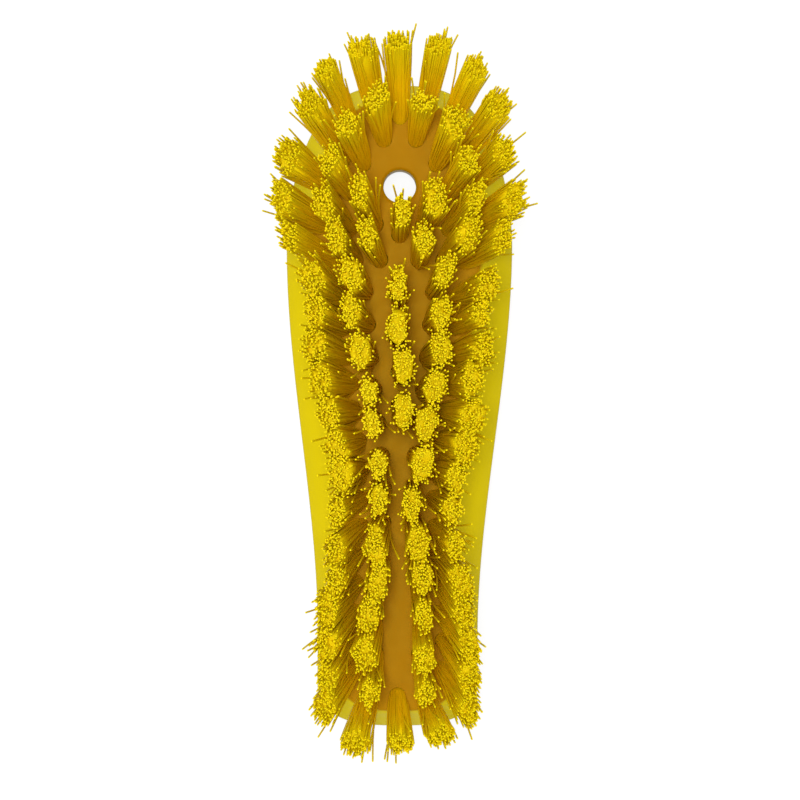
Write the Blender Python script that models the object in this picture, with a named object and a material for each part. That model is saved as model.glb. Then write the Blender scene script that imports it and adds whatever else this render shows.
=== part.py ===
"""A hand scrub brush lying on its back, with its bristles up.

The origin is on the flat of the back, midway along the block. +Z is up, +Y runs to the wide head with the
hanging hole, and +X is to the right seen from above. Sizes are in metres.
"""

import math
from collections import namedtuple

import bmesh
import bpy
from mathutils import Vector

# Block, seen from above
BLOCK_LENGTH = 0.200
HEAD_WIDTH = 0.0705
TAIL_WIDTH = 0.050
WIDE_FROM_HEAD_END = 0.050
NARROW_FROM_TAIL_END = 0.028
TAIL_CAP_LENGTH = 0.013
CAP_SIDE_POWER = 3.0
HEAD_CAP_POWER = 1.8
TAIL_CAP_POWER = 2.2

# Block, seen from the side
BLOCK_HEIGHT = 0.030
FLARE_DROP = 0.011
BRIM_ROUND = 0.0016
FACE_EDGE_ROUND = 0.0007
BACK_SIDE_ROUND = 0.0150
BACK_END_ROUND = 0.0240
BACK_END_RISE = 0.0090
RISE_FROM_END = 0.055
RISE_RUN = 0.060

# Slope from the bristle face out to the brim, wider along the finger grip
FACE_SIDE_INSET = 0.0060
FACE_END_INSET = 0.0048
GRIP_INSET = 0.0055
GRIP_FROM_HEAD_END = 0.040
GRIP_HEAD_RUN = 0.027
GRIP_FROM_TAIL_END = 0.025
GRIP_TAIL_RUN = 0.060

# Hanging hole
HOLE_DIAMETER = 0.0102
HOLE_FROM_HEAD_END = 0.0317
HOLE_MOUTH_ROUND = 0.0010

# Tufts and the holes that they fill
TUFT_DIAMETER = 0.0038
TUFT_DEPTH = 0.0070
TUFT_LENGTH = 0.040
SLICE_WIDTH = 0.0048
SLICE_THICKNESS = 0.0016
FOOT_OVERLAP = 0.0005
CLEARANCE = 0.0003
WALL = 0.0010

# Strands, each standing for a bundle of filaments
STRANDS_PER_TUFT = 4
STRAND_SIDES = 3
STRAND_RADIUS = 0.00080
STRAND_ROOT_SPREAD = 0.0014
STRAND_TIP_SPREAD = 0.0034
STRAND_ROOT_DEPTH = 0.0006

# Staples, cut from flat wire
STAPLE_THICKNESS = 0.0005
STAPLE_HEIGHT = 0.0016
STAPLE_DEPTH = 0.0052
STAPLE_BITE = 0.0005

# Rows of tufts
RIM_FROM_FACE_EDGE = 0.0047
RIM_GRIP_EXTRA = 0.0014
RIM_PITCH = 0.0090
HEAD_RIM_COUNT = 7
HEAD_RIM_PITCH = 0.0074
HEAD_RIM_GROWTH = 0.00085
ROW_GAP = 0.0068
INNER_PITCH = 0.0103
INNER_TAIL_GAP = 0.0205
MIDDLE_FIRST_FROM_HOLE = 0.0353
MIDDLE_PITCH = 0.0113
MIDDLE_COUNT = 4
ARC_FROM_HOLE = 0.0150
ARC_SIDE_FROM_HOLE = 0.0118
NECK_FROM_HOLE = 0.0229
NECK_ROW_GAP = 0.0078

# Lean of the tufts: how far a tip stands out from its root, as a share of the root's place
LEAN_CENTRE_Y = 0.002
LEAN_ALONG = 0.155
RIM_LEAN_ACROSS = 0.64
INNER_LEAN_TAIL = 0.30
INNER_LEAN_HEAD = 0.50
INNER_LEAN_FROM_HEAD_END = 0.120
INNER_LEAN_RUN = 0.070
HEAD_RIM_EXTRA = 0.0080
HEAD_RIM_FROM_END = 0.038
HEAD_RIM_RUN = 0.027

# Facets
HEAD_STEPS = 10
SIDE_STEPS = 11
TAIL_STEPS = 6
BACK_STEPS = 6
FINE = 8
HOLE_SIDES = 24
TUFT_SIDES = 6
END_STEPS = 2

# How many neighbouring tufts of a row share one slice of the backing
RIM_GROUPS_PER_SIDE = 6
INNER_GROUPS_PER_SIDE = 5

HEAD_END_Y = BLOCK_LENGTH / 2
TAIL_END_Y = -BLOCK_LENGTH / 2
HEAD_WIDE_Y = HEAD_END_Y - WIDE_FROM_HEAD_END
TAIL_NARROW_Y = TAIL_END_Y + NARROW_FROM_TAIL_END
BRIM_Z = BLOCK_HEIGHT - FLARE_DROP
HOLE_Y = HEAD_END_Y - HOLE_FROM_HEAD_END
UP = Vector((0, 0, 1))

Inset = namedtuple("Inset", "side grip head tail")
Tuft = namedtuple("Tuft", "root axis way")
Finish = namedtuple("Finish", "colour roughness metallic")

BLOCK_PLASTIC = Finish((0.74, 0.60, 0.0), 0.42, 0.0)
FILAMENT = Finish((0.70, 0.53, 0.0), 0.50, 0.0)
STAPLE_STEEL = Finish((0.62, 0.62, 0.60), 0.30, 1.0)


def smooth(share):
    """A share from 0 to 1, eased at both ends."""
    share = min(max(share, 0.0), 1.0)
    return share * share * (3 - 2 * share)


# Shapes seen from above


def half_width(y):
    """Half the block's width between its head cap and its tail cap."""
    share = (y - TAIL_NARROW_Y) / (HEAD_WIDE_Y - TAIL_NARROW_Y)
    return (TAIL_WIDTH + (HEAD_WIDTH - TAIL_WIDTH) * smooth(share)) / 2


def grip(y):
    """1 along the finger grip, easing to 0 towards the head and the tail."""
    from_head = HEAD_END_Y - GRIP_FROM_HEAD_END - y
    from_tail = y - TAIL_END_Y - GRIP_FROM_TAIL_END
    return smooth(from_head / GRIP_HEAD_RUN) * smooth(from_tail / GRIP_TAIL_RUN)


def half_plan(inset, fine=1):
    """Points down the right side of the block's outline moved in by inset, from head end to tail end."""

    def x_at(y):
        return half_width(y) - inset.side - inset.grip * grip(y)

    def cap(y, end, power, share):
        angle = share * math.pi / 2
        x = x_at(y) * math.cos(angle) ** (2 / CAP_SIDE_POWER)
        return x, y + (end - y) * math.sin(angle) ** (2 / power)

    head_end, tail_end = HEAD_END_Y - inset.head, TAIL_END_Y + inset.tail
    tail_cap = tail_end + TAIL_CAP_LENGTH
    head, side, tail = HEAD_STEPS * fine, SIDE_STEPS * fine, TAIL_STEPS * fine
    points = [(0.0, head_end)]
    points += [cap(HEAD_WIDE_Y, head_end, HEAD_CAP_POWER, 1 - i / head) for i in range(1, head)]
    for i in range(side):
        y = HEAD_WIDE_Y + (tail_cap - HEAD_WIDE_Y) * i / side
        points.append((x_at(y), y))
    points += [cap(tail_cap, tail_end, TAIL_CAP_POWER, i / tail) for i in range(tail)]
    points.append((0.0, tail_end))
    return points


def grown(inset, by, grip_by=0.0):
    """The inset moved further in by one distance all round, and by some more along the grip."""
    return Inset(inset.side + by, inset.grip + grip_by, inset.head + by, inset.tail + by)


POCKET_PITCH = SLICE_WIDTH + 2 * CLEARANCE + WALL
BRIM = Inset(0.0, 0.0, 0.0, 0.0)
FACE_EDGE = Inset(FACE_SIDE_INSET, GRIP_INSET, FACE_END_INSET, FACE_END_INSET)
RIM_ROW = grown(FACE_EDGE, RIM_FROM_FACE_EDGE, RIM_GRIP_EXTRA)
INNER_ROW = grown(RIM_ROW, ROW_GAP)


def path_lengths(points):
    """How far along the path each of its points lies."""
    lengths = [0.0]
    for a, b in zip(points, points[1:]):
        lengths.append(lengths[-1] + math.dist(a, b))
    return lengths


def along(points, distance):
    """The point that lies this far along a path."""
    lengths = path_lengths(points)
    for a, b, start, end in zip(points, points[1:], lengths, lengths[1:]):
        if distance <= end:
            share = (distance - start) / (end - start)
            return a[0] + (b[0] - a[0]) * share, a[1] + (b[1] - a[1]) * share
    return points[-1]


def x_on(points, y):
    """How far out a path from head to tail lies at this y."""
    for a, b in zip(points, points[1:]):
        if b[1] <= y <= a[1]:
            return a[0] + (b[0] - a[0]) * (a[1] - y) / (a[1] - b[1])
    return points[-1][0]


# Meshes


def finish_material(name, finish):
    """A plain material of this colour, roughness and metallic value."""
    material = bpy.data.materials.new(name)
    material.use_nodes = True
    shader = material.node_tree.nodes["Principled BSDF"]
    shader.inputs["Base Color"].default_value = (*finish.colour, 1.0)
    shader.inputs["Roughness"].default_value = finish.roughness
    shader.inputs["Metallic"].default_value = finish.metallic
    return material


def new_object(name, mesh, finish=None):
    """An object with its own material, or a hidden cutter where no finish is given."""
    obj = bpy.data.objects.new(name, mesh)
    bpy.context.scene.collection.objects.link(obj)
    if finish is None:
        obj.hide_render = True
        obj.display_type = "WIRE"
    else:
        mesh.materials.append(finish_material(name, finish))
    return obj


def closed_mesh(name, build):
    """A mesh filled by build, with its faces turned outwards."""
    shape = bmesh.new()
    build(shape)
    bmesh.ops.recalc_face_normals(shape, faces=shape.faces)
    mesh = bpy.data.meshes.new(name)
    shape.to_mesh(mesh)
    shape.free()
    return mesh


def bridge(shape, rings, capped=True):
    """Quads between closed rings of equally many points, with a flat cap on the first and the last."""
    layers = [[shape.verts.new(point) for point in ring] for ring in rings]
    for upper, lower in zip(layers, layers[1:]):
        count = len(upper)
        for i in range(count):
            j = (i + 1) % count
            shape.faces.new((upper[i], upper[j], lower[j], lower[i]))
    if capped:
        shape.faces.new(layers[0])
        shape.faces.new(layers[-1])
    return layers


def spike(shape, ring, tip):
    """A solid that tapers from a closed ring to a point."""
    base = [shape.verts.new(point) for point in ring]
    point = shape.verts.new(tip)
    for a, b in zip(base, base[1:] + base[:1]):
        shape.faces.new((a, b, point))
    shape.faces.new(base)


def disc(centre, across, normal, radius, sides, turn=0.0):
    """Points round a circle, starting along across."""
    beside = normal.cross(across)
    angles = [turn + 2 * math.pi * i / sides for i in range(sides)]
    return [centre + radius * (math.cos(a) * across + math.sin(a) * beside) for a in angles]


def boolean(obj, other, operation):
    """Cuts or joins another object's mesh, left live on the object."""
    modifier = obj.modifiers.new(f"{operation.lower()} {other.name}", "BOOLEAN")
    modifier.operation = operation
    modifier.solver = "EXACT"
    modifier.object = other


def shade(obj):
    """Smooth shading with crisp edges."""
    obj.data.shade_smooth()
    obj.data.set_sharp_from_angle(angle=math.radians(35))


# Block


def back_rise(y):
    """How far the back curves up towards either end of the block."""
    return BACK_END_RISE * smooth((abs(y) - BLOCK_LENGTH / 2 + RISE_FROM_END) / RISE_RUN)


def block_ring(inset, height):
    """A closed ring round the block, at a height that may vary along it."""
    right = half_plan(inset)
    left = [(-x, y) for x, y in reversed(right[1:-1])]
    return [Vector((x, y, height(y))) for x, y in right + left]


def block_rings():
    """The block's rings from the bristle face down to the back."""
    rings = [
        block_ring(grown(FACE_EDGE, FACE_EDGE_ROUND), lambda y: BLOCK_HEIGHT),
        block_ring(FACE_EDGE, lambda y: BLOCK_HEIGHT - FACE_EDGE_ROUND),
        block_ring(grown(BRIM, BRIM_ROUND / 2), lambda y: BRIM_Z + BRIM_ROUND / 2),
        block_ring(BRIM, lambda y: BRIM_Z - BRIM_ROUND / 2),
    ]
    top = BRIM_Z - BRIM_ROUND / 2
    for step in range(1, BACK_STEPS + 1):
        angle = math.pi / 2 * step / BACK_STEPS
        down, inwards = math.sin(angle), 1 - math.cos(angle)
        side, end = BACK_SIDE_ROUND * inwards, BACK_END_ROUND * inwards
        inset = Inset(side, 0.0, end, end)
        rings.append(block_ring(inset, lambda y, down=down: top + (back_rise(y) - top) * down))
    return rings


def build_block(shape):
    """Rings joined down the sides, a flat bristle face, and a back closed by strips across it."""
    layers = bridge(shape, block_rings(), capped=False)
    shape.faces.new(layers[0])
    back = layers[-1]
    last = len(back) // 2
    for i in range(last):
        strip = [back[i], back[i + 1], back[-i - 1], back[-i] if i else back[0]]
        shape.faces.new(list(dict.fromkeys(strip)))


def build_hanging_hole(shape):
    """A round cutter through the block that widens at the mouth between the bristles."""
    radius = HOLE_DIAMETER / 2
    beyond = 2 * HOLE_MOUTH_ROUND
    profile = [
        (BLOCK_HEIGHT + beyond, radius + HOLE_MOUTH_ROUND + beyond),
        (BLOCK_HEIGHT - HOLE_MOUTH_ROUND, radius),
        (-beyond, radius),
    ]
    centre = Vector((0, HOLE_Y, 0))
    rings = [disc(centre + z * UP, Vector((1, 0, 0)), UP, r, HOLE_SIDES) for z, r in profile]
    bridge(shape, rings)


# Rows of tufts


def headings(points):
    """The level direction of a row of points at each of them."""
    if len(points) == 1:
        return [Vector((0, 1, 0))]
    found = []
    for i in range(len(points)):
        heading = points[min(i + 1, len(points) - 1)] - points[max(i - 1, 0)]
        found.append(Vector((heading.x, heading.y, 0)).normalized())
    return found


def leaning(x, y, across, extra=0.0):
    """The direction of a tuft rooted at x and y, leaning out from the middle of the brush."""
    out = Vector((across * x, LEAN_ALONG * (y - LEAN_CENTRE_Y) + extra, 0))
    return (out + math.sqrt(TUFT_LENGTH**2 - out.length_squared) * UP).normalized()


def rim_lean(x, y):
    """The outermost row fans out furthest, most of all round the head."""
    extra = HEAD_RIM_EXTRA * smooth((y - HEAD_END_Y + HEAD_RIM_FROM_END) / HEAD_RIM_RUN)
    return leaning(x, y, RIM_LEAN_ACROSS, extra)


def inner_lean(x, y):
    """The tufts inside the rim stand nearly upright along the shank and fan out in the head."""
    share = smooth((y - HEAD_END_Y + INNER_LEAN_FROM_HEAD_END) / INNER_LEAN_RUN)
    return leaning(x, y, INNER_LEAN_TAIL + (INNER_LEAN_HEAD - INNER_LEAN_TAIL) * share)


def row_of(places, lean):
    """The tufts rooted at these places, each knowing which way its row runs."""
    roots = [Vector((x, y, BLOCK_HEIGHT)) for x, y in places]
    return [Tuft(root, lean(root.x, root.y), way) for root, way in zip(roots, headings(roots))]


def rim_places():
    """Places down the right side of the rim row, growing apart round the head and even from there to the tail."""
    path = half_plan(RIM_ROW, FINE)
    distances = [0.0]
    for i in range(HEAD_RIM_COUNT):
        distances.append(distances[-1] + HEAD_RIM_PITCH + HEAD_RIM_GROWTH * i)
    shoulder = distances[-1]
    rest = path_lengths(path)[-1] - shoulder
    count = round(rest / RIM_PITCH)
    distances += [shoulder + rest * i / count for i in range(1, count + 1)]
    return [along(path, distance) for distance in distances]


def middle_places():
    """Places down the middle line."""
    first = HOLE_Y - MIDDLE_FIRST_FROM_HOLE
    return [(0.0, first - MIDDLE_PITCH * i) for i in range(MIDDLE_COUNT)]


def inner_places(path):
    """Places down the right side of the inner row, short of the tail and clear of the middle row and the mirror."""
    middle = middle_places()
    first, last = middle[0][1], middle[-1][1]

    def cleared(x, y):
        beyond = min(max(y - first, last - y, 0.0), POCKET_PITCH)
        return max(x, POCKET_PITCH / 2, math.sqrt(POCKET_PITCH**2 - beyond**2))

    count = round(path_lengths(path)[-1] / INNER_PITCH)
    places = [along(path, INNER_PITCH * (i + 0.5)) for i in range(count)]
    return [(cleared(x, y), y) for x, y in places if y > TAIL_END_Y + INNER_TAIL_GAP]


def neck_place(path, from_hole):
    """A place past the hanging hole, a row's gap inside the inner row and clear of its mirror."""
    y = HOLE_Y - from_hole
    return max(x_on(path, y) - NECK_ROW_GAP, POCKET_PITCH / 2), y


def shared_out(items, groups):
    """The items in order, split into groups that differ by one at most."""
    ends = [len(items) * i // groups for i in range(groups + 1)]
    return [items[a:b] for a, b in zip(ends, ends[1:])]


def both_sides(name, groups, lean):
    """Named groups of tufts on the right and their mirror on the left."""
    named = {}
    for number, places in enumerate(groups, 1):
        named[f"{name}_right_{number}"] = row_of(places, lean)
        named[f"{name}_left_{number}"] = row_of([(-x, y) for x, y in places], lean)
    return named


def tuft_groups():
    """Every tuft of the brush, in named groups of neighbours along a row."""
    rim = rim_places()
    inner = half_plan(INNER_ROW, FINE)
    (near_x, near_y), (far_x, far_y) = rim[1], rim[-2]
    groups = {
        "rim_head": row_of([(-near_x, near_y), rim[0], (near_x, near_y)], rim_lean),
        "rim_tail": row_of([(-far_x, far_y), rim[-1], (far_x, far_y)], rim_lean),
    }
    groups |= both_sides("rim", shared_out(rim[2:-2], RIM_GROUPS_PER_SIDE), rim_lean)
    groups |= both_sides("inner", shared_out(inner_places(inner), INNER_GROUPS_PER_SIDE), inner_lean)
    arc_x, arc_y = neck_place(inner, ARC_SIDE_FROM_HOLE)
    neck_x, neck_y = neck_place(inner, NECK_FROM_HOLE)
    arc = [(-arc_x, arc_y), (0.0, HOLE_Y - ARC_FROM_HOLE), (arc_x, arc_y)]
    groups["hole_arc"] = row_of(arc, inner_lean)
    groups["neck"] = row_of([(-neck_x, neck_y), (neck_x, neck_y)], inner_lean)
    groups["middle"] = row_of(middle_places(), inner_lean)
    return groups


# Parts of a tuft


def slice_outline(tufts, half, z):
    """The outline of a strip round the roots of a row of tufts, with rounded ends."""
    ways = [tuft.way for tuft in tufts]
    level = [Vector((tuft.root.x, tuft.root.y, z)) for tuft in tufts]
    right = [point + half * way.cross(UP) for point, way in zip(level, ways)]
    left = [point - half * way.cross(UP) for point, way in zip(level, ways)]

    def rounded(centre, way):
        side = way.cross(UP)
        turns = [math.pi * i / (END_STEPS + 1) for i in range(1, END_STEPS + 1)]
        return [centre + half * (math.cos(a) * side + math.sin(a) * way) for a in turns]

    start = [2 * level[0] - point for point in rounded(level[0], ways[0])]
    return right + rounded(level[-1], ways[-1]) + left[::-1] + start


def build_slice(shape, tufts, gap=0.0):
    """The strip of backing that a group of tufts shares, or the pocket that it sits in."""
    top = BLOCK_HEIGHT + (FLARE_DROP if gap else 0.0)
    low = BLOCK_HEIGHT - SLICE_THICKNESS - gap
    half = SLICE_WIDTH / 2 + gap
    bridge(shape, [slice_outline(tufts, half, top), slice_outline(tufts, half, low)])


def build_root(shape, tuft, gap=0.0):
    """The round foot of a tuft inside the block, or the hole that is drilled for it."""
    radius = TUFT_DIAMETER / 2 + gap / tuft.axis.z
    depths = [SLICE_THICKNESS - FOOT_OVERLAP, TUFT_DEPTH + gap]
    ends = [tuft.root - depth / tuft.axis.z * tuft.axis for depth in depths]
    half_side = math.pi / TUFT_SIDES
    bridge(shape, [disc(end, tuft.way, UP, radius, TUFT_SIDES, half_side) for end in ends])


def build_strands(shape, tuft):
    """Tapered strands that splay from the root to the tip without crossing."""
    for i in range(STRANDS_PER_TUFT):
        turn = 2 * math.pi * i / STRANDS_PER_TUFT
        out = Vector((math.cos(turn), math.sin(turn), 0))
        root = tuft.root + STRAND_ROOT_SPREAD * out
        tip = tuft.root + TUFT_LENGTH * tuft.axis + STRAND_TIP_SPREAD * out
        way = tip - root
        start = root - STRAND_ROOT_DEPTH / way.z * way
        spike(shape, disc(start, out, UP, STRAND_RADIUS, STRAND_SIDES), tip)


def build_staples(shape, tufts, gap=0.0):
    """The flat wire of a group's staples, or the slot that it runs in."""
    deep = [tuft.root - STAPLE_DEPTH / tuft.axis.z * tuft.axis for tuft in tufts]
    ways = [tuft.way for tuft in tufts]
    reach = TUFT_DIAMETER / 2 + CLEARANCE + STAPLE_BITE + gap
    centres = [deep[0] - reach * ways[0], *deep[1:-1], deep[-1] + reach * ways[-1]]
    high = (STAPLE_HEIGHT / 2 + gap) * UP
    rings = []
    for centre, way in zip(centres, headings(centres)):
        wide = (STAPLE_THICKNESS / 2 + gap) * way.cross(UP)
        rings.append([centre + wide + high, centre - wide + high, centre - wide - high, centre + wide - high])
    bridge(shape, rings)


def cutter(name, build, items, gap):
    """One hidden cutter made of a shape for each item."""

    def build_all(shape):
        for item in items:
            build(shape, item, gap)

    return new_object(name, closed_mesh(name, build_all))


def make_tufts(name, tufts, slots):
    """A group of tufts: feet, a shared slice of the backing and the strands, with a slot for the staples."""
    group = new_object(f"tufts_{name}", closed_mesh(name, lambda shape: build_slice(shape, tufts)), FILAMENT)

    def build_all(build):
        return lambda shape: [build(shape, tuft) for tuft in tufts]

    for part, build in (("feet", build_root), ("strands", build_strands)):
        helper = new_object(f"{part}_{name}", closed_mesh(f"{part}_{name}", build_all(build)))
        boolean(group, helper, "UNION")
    boolean(group, slots, "DIFFERENCE")
    shade(group)


def main():
    """Clears the scene and makes the block, the tufts and their staples."""
    for obj in list(bpy.data.objects):
        bpy.data.objects.remove(obj, do_unlink=True)
    groups = tuft_groups()
    every_tuft = [tuft for tufts in groups.values() for tuft in tufts]
    block = new_object("block", closed_mesh("block", build_block), BLOCK_PLASTIC)
    hole = new_object("hanging_hole", closed_mesh("hanging_hole", build_hanging_hole))
    pockets = cutter("slice_pockets", build_slice, groups.values(), CLEARANCE)
    holes = cutter("tuft_holes", build_root, every_tuft, CLEARANCE)
    slots = cutter("staple_slots", build_staples, groups.values(), CLEARANCE)
    for helper in (hole, pockets, holes, slots):
        boolean(block, helper, "DIFFERENCE")
    shade(block)
    for name, tufts in groups.items():
        make_tufts(name, tufts, slots)
        staples = closed_mesh(name, lambda shape, tufts=tufts: build_staples(shape, tufts))
        new_object(f"staples_{name}", staples, STAPLE_STEEL)
    strands = STRANDS_PER_TUFT * len(every_tuft)
    print(f"{len(every_tuft)} tufts in {len(groups)} groups, {strands} strands")


main()
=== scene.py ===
"""The looks of a hand scrub brush: moulded block, fanned tufts of filaments, staples and a pale stage."""

import math
from collections import namedtuple

import bmesh
import bpy
from bpy.props import FloatProperty, FloatVectorProperty, IntProperty, PointerProperty
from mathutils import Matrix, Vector


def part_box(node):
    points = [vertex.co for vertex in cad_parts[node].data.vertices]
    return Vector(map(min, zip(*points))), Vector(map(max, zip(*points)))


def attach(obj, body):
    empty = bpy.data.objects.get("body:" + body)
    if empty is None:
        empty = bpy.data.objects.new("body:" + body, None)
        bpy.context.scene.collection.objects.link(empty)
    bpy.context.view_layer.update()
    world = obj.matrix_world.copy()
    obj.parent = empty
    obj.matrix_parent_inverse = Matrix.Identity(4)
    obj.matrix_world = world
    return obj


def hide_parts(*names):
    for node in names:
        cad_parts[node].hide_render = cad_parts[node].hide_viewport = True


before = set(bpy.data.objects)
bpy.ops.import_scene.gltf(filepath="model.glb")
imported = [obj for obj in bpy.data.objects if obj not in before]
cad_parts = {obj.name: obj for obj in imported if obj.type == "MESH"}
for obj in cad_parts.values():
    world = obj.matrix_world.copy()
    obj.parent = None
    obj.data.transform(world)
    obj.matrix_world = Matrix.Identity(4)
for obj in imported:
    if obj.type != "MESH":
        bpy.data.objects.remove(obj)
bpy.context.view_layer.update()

BLOCK_LOW, BLOCK_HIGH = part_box("block")

bl_info = {
    "name": "Hand Scrub Brush",
    "version": (1, 0, 0),
    "blender": (4, 5, 0),
    "location": "3D View > Sidebar > Scrub Brush",
    "description": "Dresses the scrub brush: moulded block, tufts of filaments, staples and stage",
    "category": "Object",
}

# The block's outline: where it changes along its length, and how square its ends are
WIDE_FROM_HEAD_END = 0.050
NARROW_FROM_TAIL_END = 0.028
TAIL_CAP_LENGTH = 0.013
CAP_SIDE_POWER = 3.0
HEAD_CAP_POWER = 1.8
TAIL_CAP_POWER = 2.2

# The back, which lies on the floor
BACK_SIDE_ROUND = 0.0150
BACK_END_ROUND = 0.0240
BACK_END_RISE = 0.0090
RISE_FROM_END = 0.055
RISE_RUN = 0.060

# Lowers the brim's rounding, so that it starts where the slope ends
BRIM_SHIFT = 0.41

# The slope round the bristle face widens along the finger grip
FACE_SIDE_INSET = 0.0060
FACE_END_INSET = 0.0048
GRIP_INSET = 0.0055
GRIP_FROM_HEAD_END = 0.040
GRIP_HEAD_RUN = 0.027
GRIP_FROM_TAIL_END = 0.025
GRIP_TAIL_RUN = 0.060

# Rows of tufts
RIM_FROM_FACE_EDGE = 0.0047
RIM_GRIP_EXTRA = 0.0014
RIM_PITCH = 0.0090
HEAD_RIM_COUNT = 7
HEAD_RIM_PITCH = 0.0074
HEAD_RIM_GROWTH = 0.00085
ROW_GAP = 0.0068
INNER_PITCH = 0.0103
INNER_TAIL_GAP = 0.0205
HOLE_FROM_HEAD_END = 0.0317
MIDDLE_FIRST_FROM_HOLE = 0.0353
MIDDLE_PITCH = 0.0113
MIDDLE_COUNT = 4
ARC_FROM_HOLE = 0.0150
ARC_SIDE_FROM_HOLE = 0.0118
NECK_FROM_HOLE = 0.0229
NECK_ROW_GAP = 0.0078
RIM_GROUPS_PER_SIDE = 6
INNER_GROUPS_PER_SIDE = 5

# Lean of the tufts, which grows with how far from the middle their roots lie
LEAN_CENTRE_Y = 0.002
LEAN_ALONG = 0.155
RIM_LEAN_ACROSS = 0.64
INNER_LEAN_TAIL = 0.30
INNER_LEAN_HEAD = 0.50
INNER_LEAN_FROM_HEAD_END = 0.120
INNER_LEAN_RUN = 0.070
HEAD_RIM_EXTRA = 0.0080
HEAD_RIM_FROM_END = 0.038
HEAD_RIM_RUN = 0.027

# The tufts spread less along their rows at either end
END_FAN = 0.72
HEAD_FAN_FROM_END = 0.012
HEAD_FAN_RUN = 0.035
TAIL_FAN_FROM_END = 0.008
TAIL_FAN_RUN = 0.030

# Facets of the block, and the steps of a row's path
HEAD_STEPS = 44
SIDE_STEPS = 70
TAIL_STEPS = 26
ROUND_STEPS = 5
SLOPE_STEPS = 3
BACK_STEPS = 22
ROW_STEPS = 80
SHARP_EDGE = math.radians(32)

# The hanging hole's cutter passes the back by this many of the hole's roundings
HOLE_CUTTER_BELOW = 3
HOLE_SIDES = 48

# The drills of the tuft holes, and how a tuft sits in its hole
DRILL_SIDES = 16
DRILL_TAPER = 0.94
DRILL_ABOVE = 0.003
ROOT_DEPTH = 0.003
ROOT_CLEARANCE = 0.0002

# The filaments of a tuft
FILAMENT_POINTS = 5
FILAMENT_SIDES = 5
FILAMENT_LENGTHS = (0.94, 1.0)
FAN_POWER = 0.6
STRAY_POWER = 12.0
CLUMP_SCALE = 1.7
CLUMP_STEP = 5.3
TUFT_GIRTHS = (0.76, 1.14)

# The packed middle of a tuft
CORE_SIDES = 12
CORE_SEGMENTS = 4
CORE_TOP_RINGS = 3
CORE_RAGGEDNESS = 0.45
CORE_TOPS = (0.955, 1.0)
CORE_TONES = (0.3, 0.9)

# Turns of a tuft's filaments for each metre across and along, and the step between the groups' seeds
TURNS_ACROSS = 37
TURNS_ALONG = 91
GROUP_SEED_STEP = 20

# The random draws in a tuft, each with its own seed
DRAWS = (
    "tip along", "tip across", "length", "stray", "stray way", "tone", "core tone", "core top",
    "core along", "core across", "wander along", "wander across", "girth",
)

GOLDEN_TURN = math.pi * (3 - math.sqrt(5))
UP = Vector((0, 0, 1))
LENGTHWISE = Vector((0, 1, 0))

Inset = namedtuple("Inset", "side grip head tail")
Tuft = namedtuple("Tuft", "root axis way fan")
Noise = namedtuple("Noise", "scale detail")
Finish = namedtuple("Finish", "wear roughness specular tint grain strength depth")

BRIM = Inset(0.0, 0.0, 0.0, 0.0)
FACE_EDGE = Inset(FACE_SIDE_INSET, GRIP_INSET, FACE_END_INSET, FACE_END_INSET)

# The plastics' patches of roughness, their gloss and the fine grain of their surface
BLOCK_FINISH = Finish(
    wear=Noise(300.0, 4.0),
    roughness=(0.34, 0.50),
    specular=0.15,
    tint=(1.0, 0.86, 0.10, 1.0),
    grain=Noise(2600.0, 2.0),
    strength=0.12,
    depth=0.0002,
)
FILAMENT_FINISH = Finish(
    wear=Noise(500.0, 2.0),
    roughness=(0.42, 0.58),
    specular=0.25,
    tint=(1.0, 0.82, 0.10, 1.0),
    grain=Noise(3000.0, 1.0),
    strength=0.10,
    depth=0.0001,
)

# The block's faint clouds, and the depths below its face between which the face's painted shade fades out
CLOUDS = Noise(45.0, 3.0)
CLOUD_RANGE = (-0.4, 1.4)
CLOUD_SHADES = (0.96, 1.04)
FACE_SHADE_ENDS = 0.0012
FACE_SHADE_STARTS = 0.0001

# How much of the tips' colour a filament takes, by its tone and by height; lower down it takes more of a
# lighter amber, which is painted bounce light among the tufts
TONE_RANGE = (0.6, 1.0)
HEIGHT_RANGE = (-1.2, 1.0)

# The staples' steel
STEEL_STREAKS = Noise(900.0, 3.0)
STEEL_COLOURS = ((0.50, 0.50, 0.49), (0.68, 0.68, 0.66))
STEEL_WEAR = Noise(1500.0, 3.0)
STEEL_ROUGHNESS = (0.25, 0.42)

# The floor, the camera's reach, and each lamp's place, width and power setting
FLOOR_REACH = 3.0
FLOOR_GREY = (0.18, 0.18, 0.18, 1.0)
FLOOR_GLOW = 0.86
CAMERA_REACH = 20.0
LAMPS = {
    "top_lamp": ((-0.12, 0.08, 3.3), 0.5, "top_power"),
    "head_lamp": ((-0.15, 1.2, 1.6), 0.8, "end_power"),
    "tail_lamp": ((-0.15, -1.2, 1.6), 0.8, "end_power"),
    "side_lamp": ((-1.3, 0.4, 0.9), 0.8, "side_power"),
}

# What the properties of one kind have in common
COLOUR = {"subtype": "COLOR", "size": 3, "min": 0.0, "max": 1.0}
SHARE = {"subtype": "FACTOR", "min": 0.0, "max": 1.0}


# Settings that a user would change


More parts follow.
